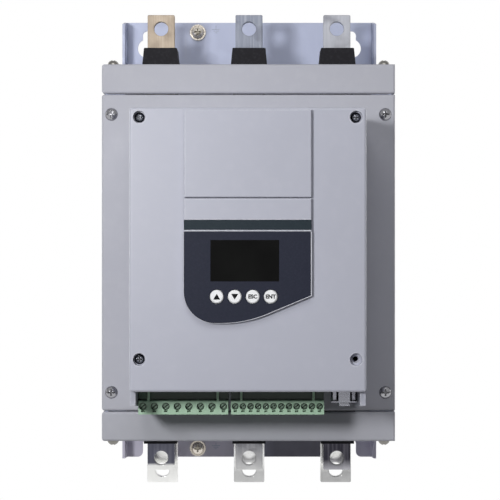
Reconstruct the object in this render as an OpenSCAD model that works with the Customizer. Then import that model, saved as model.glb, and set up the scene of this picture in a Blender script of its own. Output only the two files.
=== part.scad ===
// Three-phase soft starter for wall mounting.
// Millimetres. The origin is the middle of the wall plate's back face.
// +X points right seen from the front, +Y into the wall, +Z up, so a depth off the wall is -Y.

/* [Wall plate] */
// Height of the wall plate
plate_h = 340; // [332:1:360]
// Thickness of the folded steel sheet
plate_t = 2; // [1.5:0.1:2.5]
// Depth of the edge flanges above and below the body
flange_d = 24; // [16:1:30]
// Inside radius of the folds
fold_r = 1; // [0.8:0.1:3]
// Distance between the fixings across the wall
fixing_x = 160; // [150:1:164]
// Distance between the fixings up the wall
fixing_z = 320; // [310:1:324]
// Width of the fixing slots
slot_w = 7; // [6:0.1:8]
// Diameter of a keyhole's head
keyhole_d = 14.8; // [12:0.1:16]
// How far the head lies below the end of its slot
keyhole_drop = 10; // [8:0.5:12]

/* [Body] */
// Width of the body
body_w = 200; // [196:1:206]
// Depth of the body off the wall
body_d = 165; // [160:1:175]
// Height of the body
body_h = 257; // [252:1:262]
// How far the body's middle lies below the plate's middle
body_drop = 9.8; // [6:0.1:12]
// Height of the top and bottom caps
cap_h = 20.4; // [18:0.1:22]
// Wall of the covers
body_wall = 2; // [1.6:0.1:2.6]
// Gap at the seams between the covers
seam_gap = 0.6; // [0.3:0.1:0.8]
// Rounding of the covers' outline on the left
corner_r = 2.2; // [1:0.1:4]
// Rounding of the covers' outline on the right
far_corner_r = 0.6; // [0.3:0.1:3]
// Rounding of the front edges
edge_r = 1.6; // [0.6:0.1:3]

/* [Power path] */
// Distance from pole to pole
pole_pitch = 65; // [62:0.5:66]
// Width of the line and motor bars
bar_w = 20; // [18:0.5:22]
// Width of the bypass bars
bypass_w = 22.8; // [20:0.2:24]
// Thickness of the bars
bar_t = 5; // [4:0.5:6]
// Diameter of the cable bolt holes
bar_hole_d = 10.5; // [8.5:0.1:11]
// How far the line bars stand out of the top of the body
line_reach = 47.1; // [42:0.1:50]
// How far the motor bars stand out of the bottom
motor_reach = 32.2; // [30:0.1:36]
// How far the bypass bars stand out of the bottom
bypass_reach = 44; // [40:0.5:48]
// How far the bypass bars lie behind the motor bars
bypass_set = 13; // [12:0.5:14]
// Length of a thyristor module
module_h = 94; // [90:1:100]
// Width of a thyristor module
module_w = 52; // [48:1:54]
// Height of a thyristor module off the heatsink
module_d = 27; // [25:0.5:30]

/* [Cooling] */
// Length of the heatsink
sink_h = 180; // [170:1:184]
// Depth of the heatsink's fins
fin_d = 27; // [24:0.5:30]
// Thickness of a fin
fin_t = 2; // [1.6:0.1:2.6]
// Number of fins
fin_count = 23; // [15:1:27]
// Thickness of the heatsink's base
sink_base = 11; // [9:0.5:13]
// Side of a fan
fan_w = 40; // [38:0.5:40.5]
// Thickness of a fan
fan_t = 20; // [15:1:22]
// Number of blades on a fan
blade_count = 7; // [5:1:9]

/* [Control housing] */
// Width of the control housing
housing_w = 148.4; // [146:0.2:154]
// How far the front cover stands off the body
housing_rise = 90; // [86:1:96]
// Height of the front cover
cover_h = 178; // [174:0.5:182]
// Distance from the body's top to the front cover's top
cover_drop = 37.5; // [34:0.5:40]
// Thickness of the front cover's rim
cover_rim = 7; // [6:0.5:9]
// Wall of the housing and its cover
housing_wall = 2.2; // [1.8:0.1:2.4]
// How far the side walls reach below the cover
leg_drop = 9.2; // [6:0.2:11]
// Diameter of the recesses for the cover screws
recess_d = 7.9; // [7:0.1:9]
// Distance of the cover screws from the cover's side edges
cover_screw_x = 6.4; // [6:0.1:8]
// Distance of the upper cover screws from the cover's top
cover_screw_top = 6.1; // [6:0.1:9]
// Distance of the lower cover screws from the cover's bottom
cover_screw_foot = 20.3; // [16:0.1:24]

/* [Keypad] */
// Width of the raised centre
pad_w = 79.6; // [76:0.2:84]
// Thickness of the raised centre
pad_t = 3.5; // [2.5:0.1:4.5]
// Height of the dark keypad panel
keypad_h = 57; // [56:0.2:60]
// Distance from the cover's top to the keypad panel's top
keypad_drop = 77.8; // [74:0.2:80]
// Height of the dark trim band
band_h = 6.3; // [5:0.1:8]
// Height of the plain strip above the band
strip_h = 13.4; // [10:0.2:16]
// Width of the display window
window_w = 42.8; // [40:0.2:44]
// Height of the display window
window_h = 25.8; // [24:0.2:26]
// Diameter of a key
key_d = 8.4; // [7.5:0.1:8.8]
// Distance from key to key
key_pitch = 11.2; // [11:0.1:11.6]
// Travel of a key
key_travel = 1; // [0.6:0.1:1.2]

/* [Terminals] */
// Poles of the relay plug
relay_poles = 8; // [6:1:8]
// Pitch of the relay plug
relay_pitch = 7.5; // [7:0.1:7.62]
// Poles of the control plug
control_poles = 12; // [8:1:12]
// Pitch of the control plug
control_pitch = 5; // [4.8:0.1:5.08]
// Height of the plugs' front
plug_h = 9.2; // [8.6:0.1:10]
// Depth of the plugs
plug_d = 23; // [20:0.5:26]
// Length of the plugs' nose in its header
nose_h = 9; // [8:0.5:10]
// Gap between the two plugs
plug_spacing = 1.8; // [1:0.1:2.4]

/* [Hidden] */

$fn = 48;
// Overrun of every cut past the face that it leaves
over = 1;
// Gap between pieces that are laid into each other
fit = 0.3;

// Wall plate and body
plate_w = body_w - 2 * (body_wall + fit);
body_mid = -body_drop;
body_z0 = body_mid - body_h / 2;
body_z1 = body_mid + body_h / 2;
seam_z0 = body_z0 + cap_h;
seam_z1 = body_z1 - cap_h;
inner_d = body_d - body_wall;
tip_cut_top = 4.2;
tip_cut_foot = 1.6;
mouth_r = 4;
lip_w = 14;
tab_w = 14;
tab_d = 20;
screw_inset_x = 6.7;
screw_inset_top = 13.9;
screw_inset_foot = 12.9;
end_screw_x = 6.5;
end_screw_d = 15;
side_screw_z = 11.3;
pilot_d = 4.2;
passage_w = 60;
passage_h = 30;
screw_x = body_w / 2 - screw_inset_x;
screw_zs = [seam_z0 + screw_inset_foot, seam_z1 - screw_inset_top];
cap_screw_x = body_w / 2 - end_screw_x;
cap_screw_d = body_d - end_screw_d;
earth_x = -40.4;
earth_top = 7.7;
earth_foot = 6.8;
earth_zs = [-plate_h / 2 + earth_foot, plate_h / 2 - earth_top];
earth_thread_d = 5;
washer_d = 12.4;
washer_t = 1.4;
earth_head_d = 9.6;
earth_head_h = 3.6;

// Cooling
duct_gap = 3.7;
sink_w = plate_w - 2 * (plate_t + duct_gap);
sink_z0 = body_mid - (sink_h + fan_t) / 2 + fan_t;
sink_z1 = sink_z0 + sink_h;
sink_front = plate_t + fin_d + sink_base;
fan_z1 = sink_z0;
fan_z0 = sink_z0 - fan_t;
fan_depth = plate_t + fan_w / 2;
fan_wall = 1.6;
fan_corner = 3;
hub_d = 18;
hub_wall = 2;
hub_gap = 1;
spoke_w = 2.4;
shaft_d = 3;
shaft_fit = 0.05;
tip_gap = 0.7;
blade_t = 1.2;
blade_tilt = 38;
fan_spacing = 25;
fan_xs = [-(fan_w + fan_spacing) / 2, (fan_w + fan_spacing) / 2];

// Power path
pole_xs = [-pole_pitch, 0, pole_pitch];
module_foot = 3;
module_case_h = 74;
module_step = 4;
boss_w = 24;
boss_h = 20;
boss_z = 25;
foot_screw_z = 42;
foot_screw_d = 5;
foot_head_d = 9.5;
stud_d = 6;
stud_depth = 12;
stud_gap = 0.2;
stud_room = 1;
bar_back = sink_front + module_d;
bar_front = bar_back + bar_t;
bar_tail = 12;
bar_corner = 1;
line_end = body_z1 + line_reach;
motor_end = body_z0 - motor_reach;
bypass_end = body_z0 - bypass_reach;
line_hole = 10.2;
motor_hole = 8.7;
bypass_hole = 9.4;
joint_half = 12;
joint_d = 8;
joint_gap = 0.5;
bend_h = 15;
bypass_back = bar_back - bypass_set - bar_t;
hex_head_h = 4;
stud_hex_d = 11;
joint_hex_d = 14;
joint_hex_h = 5.3;
nut_h = 6.5;
ct_w = 38;
ct_h = 20;
ct_wall = 10;
ct_gap = 0.4;
ct_clear = 8.9;
module_clear = 13;
joint_z = seam_z0 + ct_h + ct_clear + bend_h + joint_half;
module_mid = joint_z + joint_half + module_clear + module_h / 2;
boot_wall = 9.3;
boot_top_w = 24.3;
boot_flare = 4.2;
boot_h = 21.7;
boot_root = 11;
boot_r = 0.5;
boot_gap = 0.15;
lip_h = 11.9;
bottom_boot_w = 24.3;
bottom_boot_back_w = 28.4;
bottom_boot_top = seam_z0;
boot_back_wall = 4;
boot_back = bypass_back - boot_back_wall;
boot_front = bar_front + boot_wall;

// Control housing
cover_d = body_d + housing_rise;
rim_d = cover_d - cover_rim;
cover_z1 = body_z1 - cover_drop;
cover_z0 = cover_z1 - cover_h;
leg_z = cover_z0 - leg_drop;
leg_slope = 8.5;
leg_rib_w = 3.5;
leg_rib_d = 8;
cover_r = 2.4;
cover_edge = 1.6;
cover_screw_xs = housing_w / 2 - cover_screw_x;
cover_screw_z0 = cover_z0 + cover_screw_foot;
cover_screw_z1 = cover_z1 - cover_screw_top;
cover_post_d = 10;
cover_hole_d = 4.3;
cover_thread_d = 3.2;
recess_t = 4;
cover_boss_d = 11;
cover_head_d = 6.5;
captive_places = [
    [-cover_screw_xs, cover_screw_z0], [-cover_screw_xs, cover_screw_z1], [cover_screw_xs, cover_screw_z1]
];
board_rise = 20;
board_t = 1.6;
board_d = body_d + housing_wall + board_rise;
board_front = board_d + board_t;
board_margin = 5;
board_post_d = 7;
board_post_inset = 9;
board_post_foot = 34;
board_drop = 14;
board_top = cover_z1 - board_drop;

// Raised centre and keypad
pad_r = 0.8;
keypad_z1 = cover_z1 - keypad_drop;
keypad_z0 = keypad_z1 - keypad_h;
ledge_h = 1.1;
band_z0 = keypad_z1 + ledge_h;
band_z1 = band_z0 + band_h;
strip_z1 = band_z1 + strip_h;
groove_h = 0.6;
band_t = 1.2;
keypad_r = 19.5;
keypad_sweep_r = 75;
keypad_slope = 22.8;
keypad_low_share = 0.29;
keypad_set = 0.4;
keypad_trim = 0.4;
keypad_t = pad_t - keypad_set;
window_x = -1.8;
window_drop = 5.2;
window_t = 1.2;
window_lip = 1.5;
window_z1 = keypad_z1 - window_drop;
window_z0 = window_z1 - window_h;
key_x = -2.5;
key_drop = 9.5;
key_z = window_z0 - key_drop;
key_edge = 0.7;
key_gap = 0.3;
key_proud = 0.9;
key_rim = 1.1;
key_rim_t = 1.2;
key_stem_d = 4;
key_xs = [for (i = [0:3]) key_x + (i - 1.5) * key_pitch];
keypad_back = cover_d;
key_board_gap = 6.4;
key_board_t = 1.6;
key_board_front = keypad_back - key_board_gap;
opening_left = 5.4;
opening_side = 1.3;
opening_foot = 0.8;
opening_x0 = key_xs[0] - key_d / 2 - key_rim - opening_left;
opening_x1 = key_xs[3] + key_d / 2 + key_rim + opening_side;
opening_z0 = key_z - key_d / 2 - key_rim - opening_foot;
opening_z1 = window_z1 + opening_side;
dome_d = 5;
dome_h = 0.9;
key_post_d = 3.6;

// Terminals
end_trim = 0.7;
plug_gap = 0.4;
relay_w = relay_poles * relay_pitch - 2 * end_trim;
control_w = control_poles * control_pitch + end_trim;
relay_x0 = -housing_w / 2 + housing_wall + plug_gap;
control_x0 = relay_x0 + relay_w + plug_spacing;
plug_z1 = leg_z;
plug_z0 = plug_z1 - plug_h;
plug_clear = 0.9;
plug_back = board_front + plug_clear;
plug_front = plug_back + plug_d;
plug_bevel_z = 0.6;
plug_bevel_d = 1.2;
nose_inset = 2;
nose_back = 3;
nose_d = 15;
header_gap = 0.4;
header_wall = 1.2;
header_roof = 3;
header_lip = 0.3;
tab_t = 0.8;
tab_x = 1.6;
tab_h = 6.5;
tab_inset = 6;
clamp_z = 3.9;
clamp_d = 4.4;
clamp_bore = 4.8;
clamp_deep = 7;
clamp_set = 2;
probe_z = 7;
probe_w = 2.2;
probe_h = 1.1;
probe_deep = 3;
entry_share = 0.5;
entry_deep = 6;
entry_d = 5;
pin_d = 1;
pin_bore = 1.8;
pin_h = 6;
port_w = 7.6;
port_d = 19;
port_h = 12;
port_flange_w = 17.2;
port_flange_d = 9;
port_flange_t = 0.8;
port_shell_h = 2.4;
port_shell_wall = 0.8;
port_x = housing_w / 2 - housing_wall - plug_gap - port_flange_w / 2;
port_set = 1.8;
port_z = plug_z1 - port_set;
nut_d = 4.6;
nut_x = 6.2;
port_nut_h = 8;

// Firing board
spacer_h = 55;
spacer_d = 7;
spacer_thread_d = 3;
firing_inset_x = 12;
firing_inset_z = 10;
firing_w = sink_w - 2 * firing_inset_x;
firing_z0 = sink_z0 + firing_inset_z;
firing_z1 = sink_z1 - firing_inset_z;
firing_depth = sink_front + spacer_h;
spacer_inset = 10;
spacer_xs = [-pole_pitch / 2, pole_pitch / 2];
spacer_zs = [firing_z0 + spacer_inset, firing_z1 - spacer_inset];
pulse_w = 24;
pulse_h = 18;
pulse_d = 16;

// Stands an outline in X and Z up between two depths off the wall
module slab(depth_a, depth_b) {
    translate([0, -depth_a, 0]) rotate([90, 0, 0]) linear_extrude(depth_b - depth_a) children();
}

// Runs an outline in X and depth up between two heights
module column(z_a, z_b) {
    translate([0, 0, z_a]) mirror([0, 1, 0]) linear_extrude(z_b - z_a) children();
}

// Runs an outline in depth and Z across between two places in X
module beam(x_a, x_b) {
    translate([x_b, 0, 0]) rotate([90, 0, -90]) linear_extrude(x_b - x_a) children();
}

// Rectangle from its two corners
module rect(x_a, y_a, x_b, y_b) {
    translate([x_a, y_a]) square([x_b - x_a, y_b - y_a]);
}

// Rectangle with four round corners
module round_rect(x_a, y_a, x_b, y_b, r) {
    rect(x_a + r, y_a, x_b - r, y_b);
    rect(x_a, y_a + r, x_b, y_b - r);
    for (x = [x_a + r, x_b - r], y = [y_a + r, y_b - r]) translate([x, y]) circle(r);
}

// Rectangle whose two corners at its far end in Y are round
module round_end(x_a, y_a, x_b, y_b, r) {
    rect(x_a + r, y_a, x_b - r, y_b);
    rect(x_a, y_a, x_b, y_b - r);
    for (x = [x_a + r, x_b - r]) translate([x, y_b - r]) circle(r);
}

// Block with round corners in its outline and round front edges
module soft_block(x_a, x_b, z_a, z_b, depth_a, depth_b, r, edge) {
    intersection() {
        slab(depth_a, depth_b) round_rect(x_a, z_a, x_b, z_b, r);
        column(z_a, z_b) round_end(x_a, depth_a, x_b, depth_b, edge);
        beam(x_a, x_b) mirror([1, -1]) round_end(z_a, depth_a, z_b, depth_b, edge);
    }
}

// Plain block between two corners
module block(x_a, x_b, z_a, z_b, depth_a, depth_b) {
    slab(depth_a, depth_b) rect(x_a, z_a, x_b, z_b);
}

// Round bar or hole square to the wall
module pin_y(x, z, d, depth_a, depth_b) {
    slab(depth_a, depth_b) translate([x, z]) circle(d = d);
}

// Pan head with a cross, its seat at the origin and its shank along -Z
module pan_screw(head_d, head_h, shank_d, shank_h) {
    cross_share = 0.56;
    blade_share = 0.13;
    dome_r = (head_d * head_d / 4 + head_h * head_h) / (2 * head_h);
    difference() {
        intersection() {
            translate([0, 0, head_h - dome_r]) sphere(dome_r);
            cylinder(h = head_h, d = head_d);
        }
        for (a = [0, 90]) rotate([0, 0, a])
            translate([-head_d * cross_share / 2, -head_d * blade_share / 2, head_h / 2])
                cube([head_d * cross_share, head_d * blade_share, head_h]);
    }
    translate([0, 0, -shank_h]) cylinder(h = shank_h, d = shank_d);
}

// Turns a screw to face the front at a depth
module face_front(x, z, depth) {
    translate([x, -depth, z]) rotate([90, 0, 0]) children();
}

// Trough section of the folded plate in X and depth
module trough(w, depth) {
    difference() {
        mirror([0, 1]) translate([0, -depth]) round_end(-w / 2, 0, w / 2, depth, fold_r + plate_t);
        mirror([0, 1]) translate([0, -depth - over])
            round_end(-w / 2 + plate_t, 0, w / 2 - plate_t, depth + over - plate_t, fold_r);
    }
}

// Keyhole in X and Z, its slot's end at the origin
module keyhole() {
    circle(d = slot_w);
    rect(-slot_w / 2, -keyhole_drop, slot_w / 2, 0);
    translate([0, -keyhole_drop]) circle(d = keyhole_d);
}

// Slot open at the plate's foot with round corners at its mouth, its end at the origin
module foot_slot(length) {
    circle(d = slot_w);
    rect(-slot_w / 2, -length - over, slot_w / 2, 0);
    for (side = [0, 1]) mirror([side, 0]) difference() {
        rect(0, -length - over, slot_w / 2 + mouth_r, -length + mouth_r);
        translate([slot_w / 2 + mouth_r, -length + mouth_r]) circle(mouth_r);
    }
}

// Slanted cuts at the ends of the edge flanges
module flange_ends() {
    root = plate_t + fold_r;
    tip = flange_d + over;
    for (side = [0, 1]) mirror([side, 0, 0]) beam(plate_w / 2 - root, plate_w / 2 + over) {
        polygon([
            [root, plate_h / 2], [tip, plate_h / 2 - tip_cut_top],
            [tip, plate_h / 2 + over], [root, plate_h / 2 + over]
        ]);
        polygon([
            [root, -plate_h / 2], [tip, -plate_h / 2 + tip_cut_foot],
            [tip, -plate_h / 2 - over], [root, -plate_h / 2 - over]
        ]);
    }
}

module mounting_chassis() {
    color("gainsboro") difference() {
        union() {
            column(-plate_h / 2, plate_h / 2) trough(plate_w, flange_d);
            column(body_z0 + body_wall, body_z1 - body_wall) trough(plate_w, inner_d);
            for (side = [0, 1]) mirror([side, 0, 0]) {
                block(plate_w / 2 - lip_w, plate_w / 2, seam_z0, seam_z1, inner_d - plate_t, inner_d);
                for (z = [body_z0 + body_wall, body_z1 - body_wall - plate_t])
                    block(plate_w / 2 - tab_w, plate_w / 2, z, z + plate_t,
                        cap_screw_d - tab_d / 2, cap_screw_d + tab_d / 2);
            }
        }
        for (side = [-1, 1]) {
            slab(-over, plate_t + over) {
                translate([side * fixing_x / 2, fixing_z / 2]) keyhole();
                translate([side * fixing_x / 2, -fixing_z / 2]) foot_slot(plate_h / 2 - fixing_z / 2);
            }
            for (z = screw_zs) pin_y(side * screw_x, z, pilot_d, inner_d - plate_t - over, inner_d + over);
            for (z = [body_z0, body_z1 - body_wall - plate_t - over])
                translate([side * cap_screw_x, -cap_screw_d, z])
                    cylinder(h = body_wall + plate_t + over, d = pilot_d);
            translate([side * (plate_w / 2 + over), -cap_screw_d, body_z0 + side_screw_z])
                rotate([0, -90 * side, 0]) cylinder(h = plate_t + 2 * over, d = pilot_d);
        }
        for (z = earth_zs) pin_y(earth_x, z, earth_thread_d, -over, plate_t + over);
        flange_ends();
    }
}

module heatsink() {
    pitch = (sink_w - fin_t) / (fin_count - 1);
    color("silver") difference() {
        column(sink_z0, sink_z1) {
            rect(-sink_w / 2, plate_t + fin_d, sink_w / 2, sink_front);
            for (i = [0:fin_count - 1]) {
                x = -sink_w / 2 + i * pitch;
                rect(x, plate_t, x + fin_t, sink_front);
            }
        }
        for (x = pole_xs, side = [-1, 1])
            pin_y(x, module_mid + side * foot_screw_z, foot_screw_d - 2 * fit,
                sink_front - sink_base + fin_t, sink_front + over);
    }
}

module thyristor_module(i) {
    x = pole_xs[i];
    step_d = sink_front + module_d - module_step;
    color("dimgray") difference() {
        union() {
            slab(sink_front, sink_front + module_foot)
                round_rect(x - module_w / 2, module_mid - module_h / 2,
                    x + module_w / 2, module_mid + module_h / 2, corner_r);
            soft_block(x - module_w / 2, x + module_w / 2,
                module_mid - module_case_h / 2, module_mid + module_case_h / 2,
                sink_front, step_d, corner_r, edge_r);
            for (side = [-1, 1])
                soft_block(x - boss_w / 2, x + boss_w / 2,
                    module_mid + side * boss_z - boss_h / 2, module_mid + side * boss_z + boss_h / 2,
                    step_d - module_step, sink_front + module_d, edge_r, edge_r / 2);
        }
        for (side = [-1, 1]) {
            pin_y(x, module_mid + side * boss_z, stud_d,
                sink_front + module_d - stud_depth, sink_front + module_d + over);
            pin_y(x, module_mid + side * foot_screw_z, foot_screw_d, sink_front - over, step_d);
        }
    }
}

module line_bar(i) {
    x = pole_xs[i];
    z0 = module_mid + boss_z - bar_tail;
    color("darkgray") difference() {
        slab(bar_back, bar_front) round_rect(x - bar_w / 2, z0, x + bar_w / 2, line_end, bar_corner);
        pin_y(x, line_end - line_hole, bar_hole_d, bar_back - over, bar_front + over);
        pin_y(x, module_mid + boss_z, stud_d + 2 * stud_gap, bar_back - over, bar_front + over);
    }
}

module motor_bar(i) {
    x = pole_xs[i];
    z1 = module_mid - boss_z + bar_tail;
    color("darkgray") difference() {
        slab(bar_back, bar_front) round_rect(x - bar_w / 2, motor_end, x + bar_w / 2, z1, bar_corner);
        pin_y(x, motor_end + motor_hole, bar_hole_d, bar_back - over, bar_front + over);
        pin_y(x, module_mid - boss_z, stud_d + 2 * stud_gap, bar_back - over, bar_front + over);
        pin_y(x, joint_z, joint_d + joint_gap, bar_back - over, bar_front + over);
    }
}

// Side outline of a bypass bar: a tab behind the motor bar, a set-back and a long straight tail
module bypass_side() {
    bend_z = joint_z - joint_half;
    polygon([
        [bar_back - bar_t, joint_z + joint_half], [bar_back, joint_z + joint_half],
        [bar_back, bend_z], [bypass_back + bar_t, bend_z - bend_h],
        [bypass_back + bar_t, bypass_end], [bypass_back, bypass_end],
        [bypass_back, bend_z - bend_h + bar_t / 4], [bar_back - bar_t, bend_z + bar_t / 4]
    ]);
}

module bypass_bar(i) {
    x = pole_xs[i];
    color("lightgray") difference() {
        intersection() {
            beam(x - bypass_w / 2, x + bypass_w / 2) bypass_side();
            slab(bypass_back - over, bar_back + over)
                round_rect(x - bypass_w / 2, bypass_end, x + bypass_w / 2, joint_z + joint_half, bar_corner);
        }
        pin_y(x, bypass_end + bypass_hole, bar_hole_d, bypass_back - over, bypass_back + bar_t + over);
        pin_y(x, joint_z, joint_d + joint_gap, bar_back - bar_t - over, bar_back + over);
    }
}

module current_transformer(i) {
    x = pole_xs[i];
    mid = (bar_back + bar_front) / 2;
    half = bar_t / 2 + ct_wall;
    color("midnightblue") column(bottom_boot_top, bottom_boot_top + ct_h) difference() {
        round_rect(x - ct_w / 2, mid - half, x + ct_w / 2, mid + half, corner_r);
        rect(x - bar_w / 2 - ct_gap, bar_back - ct_gap, x + bar_w / 2 + ct_gap, bar_front + ct_gap);
    }
}

// Front outline of a top boot: straight in the cap's opening, then tapering up the bar
module top_boot_front(x) {
    root = boot_top_w / 2;
    rect(x - root, body_z1 - boot_root, x + root, body_z1);
    polygon([
        [x - root - boot_flare / 2, body_z1], [x + root + boot_flare / 2, body_z1],
        [x + root, body_z1 + boot_h - boot_r], [x + root - boot_r, body_z1 + boot_h],
        [x - root + boot_r, body_z1 + boot_h], [x - root, body_z1 + boot_h - boot_r]
    ]);
}

module top_boot(i) {
    x = pole_xs[i];
    color("black") difference() {
        slab(bar_back - boot_wall, boot_front) top_boot_front(x);
        block(x - bar_w / 2 - boot_gap, x + bar_w / 2 + boot_gap, body_z1 - boot_root - over,
            body_z1 + boot_h + over, bar_back - boot_gap, bar_front + boot_gap);
    }
}

// Plan of a bottom boot: narrow in front, wide round the bypass bar
module bottom_boot_plan(x, grow) {
    rect(x - bottom_boot_w / 2 - grow, bar_back - bar_t - grow, x + bottom_boot_w / 2 + grow, boot_front + grow);
    rect(x - bottom_boot_back_w / 2 - grow, boot_back - grow,
        x + bottom_boot_back_w / 2 + grow, bar_back - bar_t + grow);
}

module bottom_boot(i) {
    x = pole_xs[i];
    color("black") difference() {
        column(body_z0 - lip_h, bottom_boot_top) bottom_boot_plan(x, 0);
        column(body_z0 - lip_h - over, bottom_boot_top + over) {
            rect(x - bar_w / 2 - boot_gap, bar_back - boot_gap, x + bar_w / 2 + boot_gap, bar_front + boot_gap);
            rect(x - bypass_w / 2 - boot_gap, bypass_back - boot_gap,
                x + bypass_w / 2 + boot_gap, bypass_back + bar_t + boot_gap);
        }
    }
}

module fan_frame(i) {
    x = fan_xs[i];
    bore = fan_w - 2 * fan_wall;
    color("dimgray") difference() {
        union() {
            column(fan_z0, fan_z1) difference() {
                round_rect(x - fan_w / 2, plate_t, x + fan_w / 2, plate_t + fan_w, fan_corner);
                translate([x, fan_depth]) circle(d = bore);
            }
            column(fan_z1 - spoke_w, fan_z1) {
                translate([x, fan_depth]) circle(d = hub_d);
                for (a = [0:120:240]) translate([x, fan_depth]) rotate(a + 30)
                    rect(0, -spoke_w / 2, fan_w / 2 - fan_wall / 2, spoke_w / 2);
            }
        }
        translate([x, -fan_depth, fan_z1 - spoke_w - over])
            cylinder(h = spoke_w + 2 * over, r = shaft_d / 2 + shaft_fit);
    }
}

module fan_rotor(i) {
    x = fan_xs[i];
    top = fan_z1 - spoke_w - hub_gap;
    foot = fan_z0 + hub_gap;
    tip = fan_w - 2 * fan_wall - 2 * tip_gap;
    color("black") translate([x, -fan_depth, 0]) {
        translate([0, 0, foot]) cylinder(h = top - foot, d = hub_d);
        translate([0, 0, foot]) cylinder(h = fan_z1 - foot, d = shaft_d);
        intersection() {
            translate([0, 0, foot]) cylinder(h = top - foot, d = tip);
            for (k = [0:blade_count - 1]) rotate([0, 0, k * 360 / blade_count])
                translate([hub_d / 2 - hub_wall, 0, (top + foot) / 2]) rotate([blade_tilt, 0, 0])
                    translate([0, -fan_t / 2, -blade_t / 2]) cube([tip / 2, fan_t, blade_t]);
        }
    }
}

// Shell of the body between two heights, open at the back, its walls where the inner block ends
module body_shell(z_a, z_b, inner_a, inner_b) {
    difference() {
        intersection() {
            soft_block(-body_w / 2, body_w / 2, z_a, z_b, plate_t + fit, body_d, far_corner_r, edge_r);
            slab(0, body_d + over) round_rect(-body_w / 2, z_a, body_w, z_b, corner_r);
        }
        block(-body_w / 2 + body_wall, body_w / 2 - body_wall, inner_a, inner_b, -over, inner_d);
    }
}

// Air slots over the fins in a cap's end wall
module air_slots(z) {
    slot_width = 3;
    slot_pitch = 8;
    slot_margin = 22;
    slot_back = 5;
    slot_front = 3;
    slot_count = floor((sink_w - slot_margin) / slot_pitch);
    slot_a = plate_t + slot_back;
    slot_b = sink_front - slot_front;
    column(z - over, z + body_wall + over) for (i = [0:slot_count - 1]) {
        x = (i - (slot_count - 1) / 2) * slot_pitch;
        rect(x - slot_width / 2, slot_a, x + slot_width / 2, slot_b);
    }
}

// Notches that let a cap's end wall pass the plate's flanges and the earth screw with its lug
module back_notches(z) {
    for (side = [0, 1]) mirror([side, 0, 0])
        block(plate_w / 2 - plate_t - fold_r - fit, body_w / 2 - body_wall, z - over, z + body_wall + over,
            0, flange_d + fit);
    block(earth_x - washer_d / 2 - fit, earth_x + washer_d / 2 + fit, z - over, z + body_wall + over,
        0, plate_t + washer_t + earth_head_h + fit);
}

module main_cover() {
    color("lightsteelblue") difference() {
        body_shell(seam_z0 + seam_gap / 2, seam_z1 - seam_gap / 2, seam_z0 - over, seam_z1 + over);
        for (x = [-screw_x, screw_x], z = screw_zs) pin_y(x, z, pilot_d + fit, inner_d - over, body_d + over);
        block(-passage_w / 2, passage_w / 2, -passage_h / 2, passage_h / 2, inner_d - over, body_d + over);
    }
}

module top_cap() {
    color("lightsteelblue") difference() {
        body_shell(seam_z1 + seam_gap / 2, body_z1, seam_z1 - over, body_z1 - body_wall);
        air_slots(body_z1 - body_wall);
        back_notches(body_z1 - body_wall);
        for (x = pole_xs)
            block(x - boot_top_w / 2 - fit, x + boot_top_w / 2 + fit, body_z1 - body_wall - over, body_z1 + over,
                bar_back - boot_wall - fit, boot_front + fit);
        for (side = [-1, 1]) translate([side * cap_screw_x, -cap_screw_d, body_z1 - body_wall - over])
            cylinder(h = body_wall + 2 * over, d = pilot_d + fit);
    }
}

module bottom_cap() {
    color("lightsteelblue") difference() {
        body_shell(body_z0, seam_z0 - seam_gap / 2, body_z0 + body_wall, seam_z0 + over);
        air_slots(body_z0);
        back_notches(body_z0);
        for (x = pole_xs) column(body_z0 - over, body_z0 + body_wall + over) bottom_boot_plan(x, fit);
        for (side = [-1, 1]) {
            translate([side * cap_screw_x, -cap_screw_d, body_z0 - over])
                cylinder(h = body_wall + 2 * over, d = pilot_d + fit);
            translate([side * (body_w / 2 + over), -cap_screw_d, body_z0 + side_screw_z])
                rotate([0, -90 * side, 0]) cylinder(h = body_wall + 2 * over, d = pilot_d + fit);
        }
    }
}

// Side outline of a housing side wall in depth and Z, its foot rising towards the front
module housing_side() {
    polygon([
        [body_d, leg_z - leg_slope], [rim_d, leg_z], [rim_d, cover_z1], [body_d, cover_z1]
    ]);
}

module control_housing() {
    half = housing_w / 2;
    back = body_d + housing_wall;
    color("lightsteelblue") difference() {
        union() {
            block(-half, half, cover_z0, cover_z1, body_d, back);
            block(-half, half, cover_z1 - housing_wall, cover_z1, body_d, rim_d);
            for (side = [0, 1]) mirror([side, 0, 0]) {
                beam(half - housing_wall, half) housing_side();
                block(half - leg_rib_w, half, leg_z, cover_z0 + leg_drop, rim_d - leg_rib_d, rim_d);
                for (z = [cover_screw_z0, cover_screw_z1])
                    pin_y(cover_screw_xs, z, cover_post_d, body_d, rim_d);
                for (z = [cover_z0 + board_post_foot, board_top - board_post_inset])
                    pin_y(half - board_post_inset - board_post_d, z, board_post_d, body_d, board_d);
            }
        }
        for (x = [-cover_screw_xs, cover_screw_xs], z = [cover_screw_z0, cover_screw_z1])
            pin_y(x, z, cover_thread_d, back, rim_d + over);
        block(-passage_w / 2, passage_w / 2, -passage_h / 2, passage_h / 2, body_d - over, back + over);
        for (side = [0, 1]) mirror([side, 0, 0])
            block(half, half + cover_post_d, cover_z0 - leg_slope, cover_z1 + over, body_d - over, rim_d + over);
        block(-half, half, cover_z1, cover_z1 + cover_post_d, body_d - over, rim_d + over);
    }
}

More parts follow.
